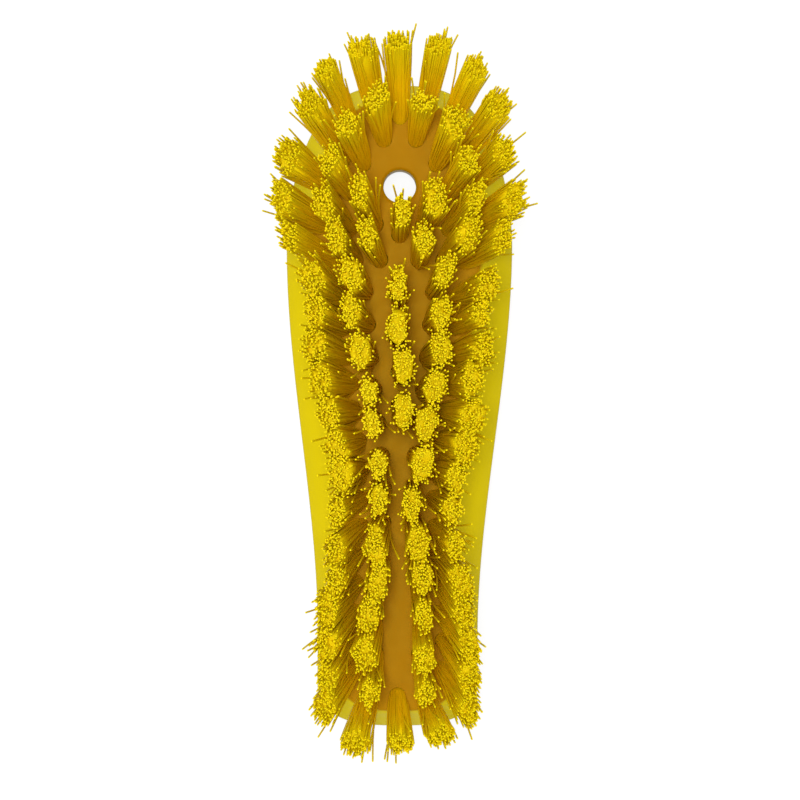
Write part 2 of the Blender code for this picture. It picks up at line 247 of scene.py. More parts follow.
class BlockSettings(bpy.types.PropertyGroup):
    """Sizes and colours of the moulded block."""

    length: FloatProperty(
        name="Length",
        description="From the head end to the tail end",
        default=BLOCK_HIGH[1] - BLOCK_LOW[1],
        unit="LENGTH",
    )
    head_width: FloatProperty(
        name="Head width",
        description="Across the widest part of the head",
        default=BLOCK_HIGH[0] - BLOCK_LOW[0],
        unit="LENGTH",
    )
    tail_width: FloatProperty(
        name="Tail width", description="Across the narrow end", default=0.050, unit="LENGTH"
    )
    height: FloatProperty(
        name="Height",
        description="From the back to the bristle face",
        default=BLOCK_HIGH[2],
        unit="LENGTH",
    )
    slope_drop: FloatProperty(
        name="Slope drop",
        description="How far the slope round the bristle face drops to the brim",
        default=0.011,
        unit="LENGTH",
    )
    brim_round: FloatProperty(
        name="Brim rounding", description="Rounding at the widest line", default=0.0016, unit="LENGTH"
    )
    face_round: FloatProperty(
        name="Face rounding", description="Rounding round the bristle face", default=0.0009, unit="LENGTH"
    )
    hanging_hole: FloatProperty(
        name="Hanging hole", description="Diameter of the hanging hole", default=0.0102, unit="LENGTH"
    )
    hole_round: FloatProperty(
        name="Hole rounding",
        description="Rounding of the hanging hole's mouth in the bristle face",
        default=0.0010,
        unit="LENGTH",
    )
    tuft_hole: FloatProperty(
        name="Tuft hole", description="Diameter of a tuft's hole", default=0.0054, unit="LENGTH"
    )
    tuft_hole_depth: FloatProperty(
        name="Tuft hole depth", description="Depth of a tuft's hole", default=0.0050, unit="LENGTH"
    )
    colour: FloatVectorProperty(
        name="Plastic", description="Colour of the moulded plastic", default=(0.70, 0.55, 0.002), **COLOUR
    )
    # Painted shade: the bristle face takes this darker amber in place of the shade that the tufts cast on
    # it
    face_shade_colour: FloatVectorProperty(
        name="Face",
        description="Colour of the bristle face, deeper than the rest",
        default=(0.415, 0.19, 0.001),
        **COLOUR,
    )


class BristleSettings(bpy.types.PropertyGroup):
    """Sizes and colours of the tufts."""

    length: FloatProperty(
        name="Length", description="Length of a tuft above the face", default=0.040, unit="LENGTH"
    )
    filaments: IntProperty(
        name="Filaments", description="Filaments that show in one tuft", default=150, min=1
    )
    filament_width: FloatProperty(
        name="Filament width", description="Diameter of a filament", default=0.00060, unit="LENGTH"
    )
    patch_along: FloatProperty(
        name="Spread along the row",
        description="Length of the patch of tips of one tuft, along its row",
        default=0.0118,
        unit="LENGTH",
    )
    patch_across: FloatProperty(
        name="Spread across the row",
        description="Width of the patch of tips of one tuft, across its row",
        default=0.0065,
        unit="LENGTH",
    )
    raggedness: FloatProperty(
        name="Raggedness",
        description="How far a tip may lie from its even place, as a share of the patch",
        default=0.18,
        **SHARE,
    )
    clumping: FloatProperty(
        name="Clumping",
        description="How far filaments draw together into clumps at their tips",
        default=0.0044,
        unit="LENGTH",
    )
    wander: FloatProperty(
        name="Wander",
        description="How far a tuft's tips may lie from where the tuft points",
        default=0.0015,
        unit="LENGTH",
    )
    stray: FloatProperty(
        name="Stray",
        description="How far the most unruly filaments bend away at their tips",
        default=0.0052,
        unit="LENGTH",
    )
    core_width: FloatProperty(
        name="Core width",
        description="Width of the packed middle of a tuft, as a share of the whole",
        default=0.85,
        **SHARE,
    )
    core_height: FloatProperty(
        name="Core height",
        description="How far up the tuft its packed middle reaches, as a share of the whole",
        default=0.935,
        **SHARE,
    )
    seed: IntProperty(name="Seed", description="Choice of the random draws", default=7)
    colour: FloatVectorProperty(
        name="Filament",
        description="Colour of the filaments towards their tips",
        default=(0.70, 0.57, 0.003),
        **COLOUR,
    )
    # Painted bounce light: a lighter amber that the filaments take lower down, where the tufts shade each
    # other
    bounce_light_colour: FloatVectorProperty(
        name="Deep filament",
        description="Colour of the lower half of the filaments",
        default=(0.98, 0.67, 0.002),
        **COLOUR,
    )


class StageSettings(bpy.types.PropertyGroup):
    """The floor, the lamps and the camera."""

    camera_height: FloatProperty(
        name="Camera height", description="Height of the camera", default=2.77, unit="LENGTH"
    )
    lens: FloatProperty(
        name="Lens", description="Focal length in millimetres", default=396.0, unit="CAMERA"
    )
    centre: FloatVectorProperty(
        name="Centre",
        description="Point at the middle of the picture",
        default=(0.0004, 0.00175, 0.0),
        size=3,
        subtype="TRANSLATION",
    )
    roll: FloatProperty(
        name="Roll",
        description="Turn of the camera about its line of sight",
        default=math.radians(0.27),
        unit="ROTATION",
    )
    top_power: FloatProperty(
        name="Top lamp", description="Power of the lamp above the camera", default=58.0, unit="POWER"
    )
    end_power: FloatProperty(
        name="End lamps",
        description="Power of each lamp beyond the head and the tail",
        default=4.0,
        unit="POWER",
    )
    side_power: FloatProperty(
        name="Side lamp", description="Power of the lamp at the left", default=2.2, unit="POWER"
    )
    sky: FloatProperty(
        name="Sky", description="Strength of the even light from all round", default=0.64, min=0.0
    )


# The block's outline and the rows of tufts


def smooth(share):
    """A share from 0 to 1, eased at both ends."""
    share = min(max(share, 0.0), 1.0)
    return share * share * (3 - 2 * share)


def grip(block, y):
    """1 along the finger grip, easing to 0 towards the head and the tail."""
    from_head = block.length / 2 - GRIP_FROM_HEAD_END - y
    from_tail = block.length / 2 - GRIP_FROM_TAIL_END + y
    return smooth(from_head / GRIP_HEAD_RUN) * smooth(from_tail / GRIP_TAIL_RUN)


def half_plan(block, inset, head, side, tail):
    """Points down the right side of the block's outline moved in by inset, from head end to tail end."""

    wide_y = block.length / 2 - WIDE_FROM_HEAD_END
    narrow_y = NARROW_FROM_TAIL_END - block.length / 2

    def x_at(y):
        share = smooth((y - narrow_y) / (wide_y - narrow_y))
        half = (block.tail_width + (block.head_width - block.tail_width) * share) / 2
        return half - inset.side - inset.grip * grip(block, y)

    def cap(y, end, power, share):
        angle = share * math.pi / 2
        x = x_at(y) * math.cos(angle) ** (2 / CAP_SIDE_POWER)
        return x, y + (end - y) * math.sin(angle) ** (2 / power)

    head_end, tail_end = block.length / 2 - inset.head, inset.tail - block.length / 2
    tail_cap = tail_end + TAIL_CAP_LENGTH
    points = [(0.0, head_end)]
    points += [cap(wide_y, head_end, HEAD_CAP_POWER, 1 - i / head) for i in range(1, head)]
    for i in range(side):
        y = wide_y + (tail_cap - wide_y) * i / side
        points.append((x_at(y), y))
    points += [cap(tail_cap, tail_end, TAIL_CAP_POWER, i / tail) for i in range(tail)]
    points.append((0.0, tail_end))
    return points


def grown(inset, by, grip_by=0.0):
    """The inset moved further in by one distance all round, and by some more along the grip."""
    return Inset(inset.side + by, inset.grip + grip_by, inset.head + by, inset.tail + by)


def path_lengths(points):
    """How far along the path each of its points lies."""
    lengths = [0.0]
    for a, b in zip(points, points[1:]):
        lengths.append(lengths[-1] + math.dist(a, b))
    return lengths


def along(points, distance):
    """The point that lies this far along a path."""
    lengths = path_lengths(points)
    for a, b, start, end in zip(points, points[1:], lengths, lengths[1:]):
        if distance <= end:
            share = (distance - start) / (end - start)
            return a[0] + (b[0] - a[0]) * share, a[1] + (b[1] - a[1]) * share
    return points[-1]


def x_on(points, y):
    """How far out a path from head to tail lies at this y."""
    for a, b in zip(points, points[1:]):
        if b[1] <= y <= a[1]:
            return a[0] + (b[0] - a[0]) * (a[1] - y) / (a[1] - b[1])
    return points[-1][0]


def headings(points):
    """The level direction of a row of points at each of them."""
    found = []
    for i in range(len(points)):
        heading = points[min(i + 1, len(points) - 1)] - points[max(i - 1, 0)]
        found.append(Vector((heading.x, heading.y, 0)).normalized())
    return found


def leaning(length, root, across, extra=0.0):
    """The direction of a tuft with this root, leaning out from the middle of the brush."""
    out = Vector((across * root.x, LEAN_ALONG * (root.y - LEAN_CENTRE_Y) + extra, 0))
    return (out + math.sqrt(length**2 - out.length_squared) * UP).normalized()


def rim_lean(block, length, root):
    """The outermost row leans out furthest, and leans forwards as well round the head."""
    extra = HEAD_RIM_EXTRA * smooth((root.y - block.length / 2 + HEAD_RIM_FROM_END) / HEAD_RIM_RUN)
    return leaning(length, root, RIM_LEAN_ACROSS, extra)


def inner_lean(block, length, root):
    """The tufts inside the rim stand nearly upright along the grip and lean out more in the head."""
    share = smooth((root.y - block.length / 2 + INNER_LEAN_FROM_HEAD_END) / INNER_LEAN_RUN)
    return leaning(length, root, INNER_LEAN_TAIL + (INNER_LEAN_HEAD - INNER_LEAN_TAIL) * share)


def fanning(block, y):
    """How far a tuft spreads along its row, as a share of the most."""
    from_head = block.length / 2 - HEAD_FAN_FROM_END - y
    from_tail = block.length / 2 - TAIL_FAN_FROM_END + y
    return END_FAN + (1 - END_FAN) * smooth(from_head / HEAD_FAN_RUN) * smooth(from_tail / TAIL_FAN_RUN)


def row_path(block, inset):
    """A fine path down the right side of a row."""
    return half_plan(block, inset, *[ROW_STEPS] * 3)


def rim_places(path):
    """Places down the rim row, growing apart round the head and even from there to the tail."""
    distances = [0.0]
    for i in range(HEAD_RIM_COUNT):
        distances.append(distances[-1] + HEAD_RIM_PITCH + HEAD_RIM_GROWTH * i)
    shoulder = distances[-1]
    rest = path_lengths(path)[-1] - shoulder
    count = round(rest / RIM_PITCH)
    distances += [shoulder + rest * i / count for i in range(1, count + 1)]
    return [along(path, distance) for distance in distances]


def inner_places(path, tail_end):
    """Places down the inner row, from half a pitch off the centre line to short of the tail."""
    count = round(path_lengths(path)[-1] / INNER_PITCH)
    places = [along(path, INNER_PITCH * (i + 0.5)) for i in range(count)]
    return [(x, y) for x, y in places if y > tail_end + INNER_TAIL_GAP]


def shared_out(items, groups):
    """The items in order, split into groups that differ by one at most."""
    ends = [len(items) * i // groups for i in range(groups + 1)]
    return [items[a:b] for a, b in zip(ends, ends[1:])]


def tuft_groups(block, length):
    """Every tuft of the brush, in the same named groups as the frame's nodes."""
    hole_y = block.length / 2 - HOLE_FROM_HEAD_END
    rim_row = grown(FACE_EDGE, RIM_FROM_FACE_EDGE, RIM_GRIP_EXTRA)
    rim = rim_places(row_path(block, rim_row))
    inner_path = row_path(block, grown(rim_row, ROW_GAP))
    inner = inner_places(inner_path, -block.length / 2)
    (near_x, near_y), (far_x, far_y) = rim[1], rim[-2]
    arc_y, neck_y = hole_y - ARC_SIDE_FROM_HOLE, hole_y - NECK_FROM_HOLE
    arc_x, neck_x = (x_on(inner_path, y) - NECK_ROW_GAP for y in (arc_y, neck_y))
    first = hole_y - MIDDLE_FIRST_FROM_HOLE
    places = {
        "rim_head": ([(-near_x, near_y), rim[0], (near_x, near_y)], rim_lean),
        "rim_tail": ([(-far_x, far_y), rim[-1], (far_x, far_y)], rim_lean),
        "hole_arc": ([(-arc_x, arc_y), (0.0, hole_y - ARC_FROM_HOLE), (arc_x, arc_y)], inner_lean),
        "neck": ([(-neck_x, neck_y), (neck_x, neck_y)], inner_lean),
        "middle": ([(0.0, first - MIDDLE_PITCH * i) for i in range(MIDDLE_COUNT)], inner_lean),
    }
    for side, sign in (("right", 1), ("left", -1)):
        for number, row in enumerate(shared_out(rim[2:-2], RIM_GROUPS_PER_SIDE), 1):
            places[f"rim_{side}_{number}"] = ([(sign * x, y) for x, y in row], rim_lean)
        for number, row in enumerate(shared_out(inner, INNER_GROUPS_PER_SIDE), 1):
            places[f"inner_{side}_{number}"] = ([(sign * x, y) for x, y in row], inner_lean)
    groups = {}
    for name, (row, lean) in places.items():
        roots = [Vector((x, y, block.height)) for x, y in row]
        axes = [lean(block, length, root) for root in roots]
        ways = [LENGTHWISE] * len(roots) if name in {"hole_arc", "neck"} else headings(roots)
        fans = [fanning(block, y) for x, y in row]
        groups[name] = [Tuft(*parts) for parts in zip(roots, axes, ways, fans)]
    return groups


# Meshes and node trees


def new_object(name, data):
    """An object in the scene for this mesh, lamp or camera."""
    obj = bpy.data.objects.new(name, data)
    bpy.context.scene.collection.objects.link(obj)
    return obj


def made_plain(obj):
    """Turns what the object's modifiers make into its own plain mesh."""
    depsgraph = bpy.context.evaluated_depsgraph_get()
    evaluated = obj.evaluated_get(depsgraph)
    mesh = bpy.data.meshes.new_from_object(evaluated, preserve_all_data_layers=True, depsgraph=depsgraph)
    obj.modifiers.clear()
    obj.data = mesh
    mesh.name = obj.name


def live(sockets, name):
    """The socket of this name that the node's settings have brought into use."""
    return next(socket for socket in sockets if socket.enabled and socket.name == name)


class Tree:
    """A geometry node tree under construction."""

    def __init__(self, name, sockets):
        self.tree = bpy.data.node_groups.new(name, "GeometryNodeTree")
        interface = self.tree.interface
        interface.new_socket("Geometry", in_out="INPUT", socket_type="NodeSocketGeometry")
        interface.new_socket("Geometry", in_out="OUTPUT", socket_type="NodeSocketGeometry")
        for label, kind in sockets:
            interface.new_socket(label, in_out="INPUT", socket_type=f"NodeSocket{kind}")
        self.inputs = self.tree.nodes.new("NodeGroupInput").outputs

    def node(self, kind, settings=None, **inputs):
        """A node with these settings and inputs, each a value or another node's output."""
        node = self.tree.nodes.new(kind)
        for name, value in (settings or {}).items():
            setattr(node, name, value)
        for name, value in inputs.items():
            self.feed(node.inputs[name.replace("_", " ")], value)
        return node

    def feed(self, socket, value):
        """Joins an output to the socket, or sets its value."""
        if isinstance(value, bpy.types.NodeSocket):
            self.tree.links.new(value, socket)
        else:
            socket.default_value = value

    def maths(self, operation, *values, kind="ShaderNodeMath"):
        """The result of arithmetic on numbers."""
        node = self.node(kind, {"operation": operation})
        for socket, value in zip(node.inputs, values):
            self.feed(socket, value)
        return node.outputs[0]

    def vector(self, operation, *values):
        """The result of arithmetic on vectors."""
        return self.maths(operation, *values, kind="ShaderNodeVectorMath")

    def scaled(self, vector, factor):
        """A vector times a number."""
        node = self.node("ShaderNodeVectorMath", {"operation": "SCALE"}, Vector=vector, Scale=factor)
        return node.outputs[0]

    def read(self, name, kind="FLOAT_VECTOR"):
        """A named attribute of the geometry."""
        return self.node("GeometryNodeInputNamedAttribute", {"data_type": kind}, Name=name).outputs[0]

    def chance(self, low, high, seed):
        """A different random number for each point."""
        node = self.node("FunctionNodeRandomValue", {"data_type": "FLOAT"})
        for name, value in {"Min": low, "Max": high, "Seed": seed}.items():
            self.feed(live(node.inputs, name), value)
        return live(node.outputs, "Value")

    def store(self, geometry, name, value, kind="FLOAT_VECTOR"):
        """The geometry with a named attribute on each point."""
        settings = {"data_type": kind, "domain": "POINT"}
        node = self.node("GeometryNodeStoreNamedAttribute", settings, Geometry=geometry, Name=name)
        self.feed(live(node.inputs, "Value"), value)
        return node.outputs[0]

    def finish(self, geometry, material):
        """Ends the tree in real geometry with its material."""
        real = self.node("GeometryNodeRealizeInstances", Geometry=geometry).outputs[0]
        dressed = self.node("GeometryNodeSetMaterial", Geometry=real, Material=material).outputs[0]
        self.tree.links.new(dressed, self.tree.nodes.new("NodeGroupOutput").inputs[0])
        return self.tree


def run_tree(obj, tree, values):
    """Runs a node tree on the object with these inputs and keeps the result as a plain mesh."""
    modifier = obj.modifiers.new(tree.name, "NODES")
    modifier.node_group = tree
    for item in tree.interface.items_tree:
        if item.in_out == "INPUT" and item.name in values:
            modifier[item.identifier] = values[item.name]
    made_plain(obj)


def tuft_points(name, tufts):
    """One point for each tuft, which knows its direction, its row and where its filaments start to turn."""
    mesh = bpy.data.meshes.new(name)
    mesh.from_pydata([tuft.root for tuft in tufts], [], [])
    rows = {
        "axis": [tuft.axis for tuft in tufts],
        "along": [tuft.way for tuft in tufts],
        "across": [tuft.way.cross(UP) for tuft in tufts],
    }
    for label, vectors in rows.items():
        attribute = mesh.attributes.new(label, "FLOAT_VECTOR", "POINT")
        attribute.data.foreach_set("vector", [part for vector in vectors for part in vector])
    turns = [tuft.root.x * TURNS_ACROSS + tuft.root.y * TURNS_ALONG for tuft in tufts]
    numbers = {
        "fan": [tuft.fan for tuft in tufts],
        "turn": [math.tau * (turn % 1) for turn in turns],
    }
    for label, values in numbers.items():
        mesh.attributes.new(label, "FLOAT", "POINT").data.foreach_set("value", values)
    return new_object(name, mesh)


def drill_tree():
    """Tapered drills, one for each tuft hole, leaning as the tuft does."""
    sockets = [("Diameter", "Float"), ("Depth", "Float"), ("Above", "Float"), ("Material", "Material")]
    t = Tree("Tuft drills", sockets)
    radius = t.maths("MULTIPLY", t.inputs["Diameter"], 0.5)
    narrow = t.maths("MULTIPLY", radius, DRILL_TAPER)
    whole = t.maths("ADD", t.inputs["Depth"], t.inputs["Above"])
    sizes = {"Radius_Top": radius, "Radius_Bottom": narrow, "Depth": whole}
    bit = t.node("GeometryNodeMeshCone", Vertices=DRILL_SIDES, **sizes)
    lean = t.node("FunctionNodeAlignRotationToVector", {"axis": "Z"}, Vector=t.read("axis")).outputs[0]
    sunk = t.scaled(t.read("axis"), t.maths("MULTIPLY", t.inputs["Depth"], -1.0))
    placed = t.node("GeometryNodeSetPosition", Geometry=t.inputs["Geometry"], Offset=sunk).outputs[0]
    drills = t.node("GeometryNodeInstanceOnPoints", Points=placed, Instance=bit.outputs[0], Rotation=lean)
    return t.finish(drills.outputs[0], t.inputs["Material"])


def filament_tree():
    """Tufts of filaments that fan from a round root to a longer patch of uneven, clumped tips."""
    sizes = ("Length", "Root Depth", "Root Radius", "Filament Radius", "Half Along", "Half Across")
    habits = ("Raggedness", "Clumping", "Wander", "Stray", "Core Width", "Core Height")
    sockets = [("Filaments", "Int"), *((label, "Float") for label in sizes + habits)]
    t = Tree("Tuft filaments", [*sockets, ("Seed", "Int"), ("Material", "Material")])
    given = t.inputs

    def seeded(draw):
        return t.maths("ADD", given["Seed"], DRAWS.index(draw) + 1)

    def shifted(lengthwise, crosswise):
        return t.vector("ADD", t.scaled(t.read("along"), lengthwise), t.scaled(t.read("across"), crosswise))

    def out_by(u, v, distance):
        return shifted(t.maths("MULTIPLY", u, distance), t.maths("MULTIPLY", v, distance))

    def astray(amount, draw):
        return t.maths("MULTIPLY", t.chance(-1.0, 1.0, seeded(draw)), amount)

    def spread_at(u, v, ragged_u, ragged_v):
        """How far out a tip lies that starts at this place in the tuft's round root."""
        step = t.maths("MULTIPLY", t.read("number", "FLOAT"), CLUMP_STEP)
        spot = t.node("ShaderNodeCombineXYZ", X=u, Y=v, Z=step).outputs[0]
        drift = t.vector("ADD", spot, t.node("ShaderNodeCombineXYZ", Z=given["Seed"]).outputs[0])
        noise = t.node("ShaderNodeTexNoise", Vector=drift, Scale=CLUMP_SCALE, Detail=1.0).outputs["Color"]
        clump = t.node("ShaderNodeSeparateXYZ", Vector=t.vector("SUBTRACT", noise, (0.5, 0.5, 0.5))).outputs
        half_along = t.maths("MULTIPLY", given["Half Along"], t.read("fan", "FLOAT"))
        lengthwise = (u, ragged_u, half_along, clump[0])
        crosswise = (v, ragged_v, given["Half Across"], clump[1])
        ways = []
        for value, ragged, half, drawn in (lengthwise, crosswise):
            even = t.maths("MULTIPLY", t.maths("ADD", value, ragged), half)
            grown_out = t.maths("MULTIPLY", even, t.read("girth", "FLOAT"))
            ways.append(t.maths("ADD", grown_out, t.maths("MULTIPLY", drawn, given["Clumping"])))
        return shifted(*ways)

    def fanned(root, tip, spread, share):
        """The place at a share of the way up, turning outwards early on."""
        run = t.scaled(t.vector("SUBTRACT", tip, root), share)
        early = t.maths("SUBTRACT", t.maths("POWER", share, FAN_POWER), share)
        return t.vector("ADD", t.vector("ADD", root, run), t.scaled(spread, early))

    def ends(seat, from_axis, spread, length):
        """Where a filament starts in its hole and where its tip lies."""
        sunk = t.vector("SUBTRACT", seat, t.scaled(t.read("axis"), given["Root Depth"]))
        end = t.vector("ADD", t.vector("ADD", seat, t.scaled(t.read("axis"), length)), t.read("wander"))
        return t.vector("ADD", sunk, from_axis), t.vector("ADD", end, spread)

    # What each tuft keeps for its filaments
    wander = shifted(astray(given["Wander"], "wander along"), astray(given["Wander"], "wander across"))
    tufts = t.store(given["Geometry"], "wander", wander)
    tufts = t.store(tufts, "girth", t.chance(*TUFT_GIRTHS, seeded("girth")), "FLOAT")
    tufts = t.store(tufts, "number", t.node("GeometryNodeInputIndex").outputs[0], "FLOAT")
    tufts = t.store(tufts, "seat", t.node("GeometryNodeInputPosition").outputs[0])

    # The filaments, set out evenly in their hole by the golden angle
    domain = {"domain": "POINT"}
    copies = t.node("GeometryNodeDuplicateElements", domain, Geometry=tufts, Amount=given["Filaments"])
    points, number = copies.outputs
    turn = t.maths("ADD", t.maths("MULTIPLY", number, GOLDEN_TURN), t.read("turn", "FLOAT"))
    reach = t.maths("SQRT", t.maths("DIVIDE", t.maths("ADD", number, 0.5), given["Filaments"]))
    u = t.maths("MULTIPLY", reach, t.maths("COSINE", turn))
    v = t.maths("MULTIPLY", reach, t.maths("SINE", turn))
    from_axis = out_by(u, v, given["Root Radius"])
    ragged = given["Raggedness"]
    spread = spread_at(u, v, astray(ragged, "tip along"), astray(ragged, "tip across"))
    length = t.maths("MULTIPLY", given["Length"], t.chance(*FILAMENT_LENGTHS, seeded("length")))
    root, tip = ends(t.read("seat"), from_axis, spread, length)
    rarely = t.maths("POWER", t.chance(0.0, 1.0, seeded("stray")), STRAY_POWER)
    angle = t.chance(0.0, math.tau, seeded("stray way"))
    unruly = t.maths("MULTIPLY", rarely, given["Stray"])
    sway = out_by(t.maths("COSINE", angle), t.maths("SINE", angle), unruly)
    vectors = {"root": root, "tip": tip, "sway": sway, "spread": t.vector("SUBTRACT", spread, from_axis)}
    for name, value in vectors.items():
        points = t.store(points, name, value)
    points = t.store(points, "tone", t.chance(0.0, 1.0, seeded("tone")), "FLOAT")
    line = t.node("GeometryNodeCurvePrimitiveLine", End=(0.0, 0.0, 1.0)).outputs[0]
    line = t.node("GeometryNodeResampleCurve", Curve=line, Count=FILAMENT_POINTS).outputs[0]
    lines = t.node("GeometryNodeInstanceOnPoints", Points=points, Instance=line).outputs[0]
    lines = t.node("GeometryNodeRealizeInstances", Geometry=lines).outputs[0]
    share = t.node("GeometryNodeSplineParameter").outputs["Factor"]
    bow = t.scaled(t.read("sway"), t.maths("MULTIPLY", share, share))
    spots = t.vector("ADD", fanned(t.read("root"), t.read("tip"), t.read("spread"), share), bow)
    lines = t.node("GeometryNodeSetPosition", Geometry=lines, Position=spots).outputs[0]
    lines = t.store(lines, "height", share, "FLOAT")
    width = given["Filament Radius"]
    ring = t.node("GeometryNodeCurvePrimitiveCircle", Resolution=FILAMENT_SIDES, Radius=width).outputs[0]
    solid = t.node("GeometryNodeCurveToMesh", Curve=lines, Profile_Curve=ring, Fill_Caps=True).outputs[0]

    # The packed middle of each tuft, just short of the tips
    facets = {"Vertices": CORE_SIDES, "Side_Segments": CORE_SEGMENTS, "Fill_Segments": CORE_TOP_RINGS}
    filled = {"fill_type": "TRIANGLE_FAN"}
    rod = t.node("GeometryNodeMeshCylinder", filled, Radius=1.0, Depth=2.0, **facets).outputs[0]
    rod = t.store(rod, "local", t.node("GeometryNodeInputPosition").outputs[0])
    cores = t.node("GeometryNodeInstanceOnPoints", Points=tufts, Instance=rod).outputs[0]
    cores = t.node("GeometryNodeRealizeInstances", Geometry=cores).outputs[0]
    local = t.node("ShaderNodeSeparateXYZ", Vector=t.read("local")).outputs
    core_u, core_v = (t.maths("MULTIPLY", local[way], given["Core Width"]) for way in (0, 1))
    from_axis = out_by(core_u, core_v, given["Root Radius"])
    ragged = t.maths("MULTIPLY", given["Raggedness"], CORE_RAGGEDNESS)
    spread = spread_at(core_u, core_v, astray(ragged, "core along"), astray(ragged, "core across"))
    root, tip = ends(t.read("seat"), from_axis, spread, given["Length"])
    uneven = t.maths("MULTIPLY", given["Core Height"], t.chance(*CORE_TOPS, seeded("core top")))
    share = t.maths("MULTIPLY", t.maths("MULTIPLY_ADD", local[2], 0.5, 0.5), uneven)
    spots = fanned(root, tip, t.vector("SUBTRACT", spread, from_axis), share)
    cores = t.node("GeometryNodeSetPosition", Geometry=cores, Position=spots).outputs[0]
    cores = t.store(cores, "height", share, "FLOAT")
    cores = t.store(cores, "tone", t.chance(*CORE_TONES, seeded("core tone")), "FLOAT")
    both = t.node("GeometryNodeJoinGeometry")
    for part in (solid, cores):
        t.tree.links.new(part, both.inputs[0])
    soft = t.node("GeometryNodeSetShadeSmooth", Geometry=both.outputs[0]).outputs[0]
    return t.finish(soft, given["Material"])


# Materials


def material_base(name):
    """A new material, its nodes and links, and its shader."""
    material = bpy.data.materials.new(name)
    material.use_nodes = True
    nodes = material.node_tree.nodes
    return material, nodes, material.node_tree.links, nodes["Principled BSDF"]


def noise_of(nodes, links, noise):
    """Noise fixed to the object, with this scale and detail."""
    place = nodes.new("ShaderNodeTexCoord")
    node = nodes.new("ShaderNodeTexNoise")
    node.inputs["Scale"].default_value = noise.scale
    node.inputs["Detail"].default_value = noise.detail
    links.new(place.outputs["Object"], node.inputs["Vector"])
    return node.outputs["Fac"]


def stored(nodes, name):
    """A number that the mesh keeps at each of its points."""
    node = nodes.new("ShaderNodeAttribute")
    node.attribute_name = name
    return node.outputs["Fac"]


def ranged(nodes, links, value, low, high):
    """The value taken from 0 to 1 onto low to high."""
    ranger = nodes.new("ShaderNodeMapRange")
    ranger.inputs["To Min"].default_value = low
    ranger.inputs["To Max"].default_value = high
    links.new(value, ranger.inputs["Value"])
    return ranger.outputs["Result"]


def blended(nodes, links, share, first, second):
    """A colour between two, by share, where each is a colour or another node's output."""
    mix = nodes.new("ShaderNodeMix")
    mix.data_type = "RGBA"
    links.new(share, live(mix.inputs, "Factor"))
    for name, colour in (("A", first), ("B", second)):
        if isinstance(colour, bpy.types.NodeSocket):
            links.new(colour, live(mix.inputs, name))
        else:
            live(mix.inputs, name).default_value = (*colour, 1.0)
    return live(mix.outputs, "Result")


def finished(nodes, links, shader, finish):
    """Gives the shader its patches of roughness, its tinted gloss and its fine grain."""
    wear = ranged(nodes, links, noise_of(nodes, links, finish.wear), *finish.roughness)
    links.new(wear, shader.inputs["Roughness"])
    shader.inputs["Specular IOR Level"].default_value = finish.specular
    shader.inputs["Specular Tint"].default_value = finish.tint
    bump = nodes.new("ShaderNodeBump")
    bump.inputs["Strength"].default_value = finish.strength
    bump.inputs["Distance"].default_value = finish.depth
    links.new(noise_of(nodes, links, finish.grain), bump.inputs["Height"])
    links.new(bump.outputs["Normal"], shader.inputs["Normal"])


def cloud_shades(colour):
    """The colour a little darker and a little lighter."""
    return [tuple(min(part * factor, 1.0) for part in colour) for factor in CLOUD_SHADES]


def block_plastic(colour, shade_amber, face_z):
    """Satin moulded plastic, faintly cloudy and finely grained, with painted shade on the bristle face: a
    darker amber in place of the shade under the tufts.
    """
    material, nodes, links, shader = material_base("block_plastic")
    place = nodes.new("ShaderNodeTexCoord")
    height = nodes.new("ShaderNodeSeparateXYZ")
    links.new(place.outputs["Object"], height.inputs["Vector"])
    # Painted shade: a mask by height that is 1 on the bristle face, where the darker amber goes
    face = nodes.new("ShaderNodeMapRange")
    face.inputs["From Min"].default_value = face_z - FACE_SHADE_ENDS
    face.inputs["From Max"].default_value = face_z - FACE_SHADE_STARTS
    links.new(height.outputs["Z"], face.inputs["Value"])
    cloud = ranged(nodes, links, noise_of(nodes, links, CLOUDS), *CLOUD_RANGE)
    sides = blended(nodes, links, cloud, *cloud_shades(colour))
    top = blended(nodes, links, cloud, *cloud_shades(shade_amber))
    links.new(blended(nodes, links, face.outputs["Result"], sides, top), shader.inputs["Base Color"])
    finished(nodes, links, shader, BLOCK_FINISH)
    return material


def filament_plastic(colour, shade_amber):
    """Stiff plastic filament, each in a tone of its own, with painted bounce light: lighter and more amber
    below, yellower towards its cut tip.
    """
    material, nodes, links, shader = material_base("filament_plastic")
    share = nodes.new("ShaderNodeMath")
    share.operation = "MULTIPLY"
    links.new(ranged(nodes, links, stored(nodes, "tone"), *TONE_RANGE), share.inputs[0])
    # Painted bounce light: the lower a point on a filament, the more of the lighter amber it takes
    links.new(ranged(nodes, links, stored(nodes, "height"), *HEIGHT_RANGE), share.inputs[1])
    links.new(blended(nodes, links, share.outputs[0], shade_amber, colour), shader.inputs["Base Color"])
    finished(nodes, links, shader, FILAMENT_FINISH)
    return material


def staple_steel():
    """Drawn flat wire."""
    material, nodes, links, shader = material_base("staple_steel")
    streaks = noise_of(nodes, links, STEEL_STREAKS)
    links.new(blended(nodes, links, streaks, *STEEL_COLOURS), shader.inputs["Base Color"])
    wear = ranged(nodes, links, noise_of(nodes, links, STEEL_WEAR), *STEEL_ROUGHNESS)
    links.new(wear, shader.inputs["Roughness"])
    shader.inputs["Metallic"].default_value = 1.0
    return material


# The block


def back_rise(block, y):
    """How far the back curves up towards either end of the block."""
    return BACK_END_RISE * smooth((abs(y) - block.length / 2 + RISE_FROM_END) / RISE_RUN)


def turned(step, steps):
    """The sine, and 1 less the cosine, of this many steps of a quarter turn."""
    angle = math.pi / 2 * step / steps
    return math.sin(angle), 1 - math.cos(angle)


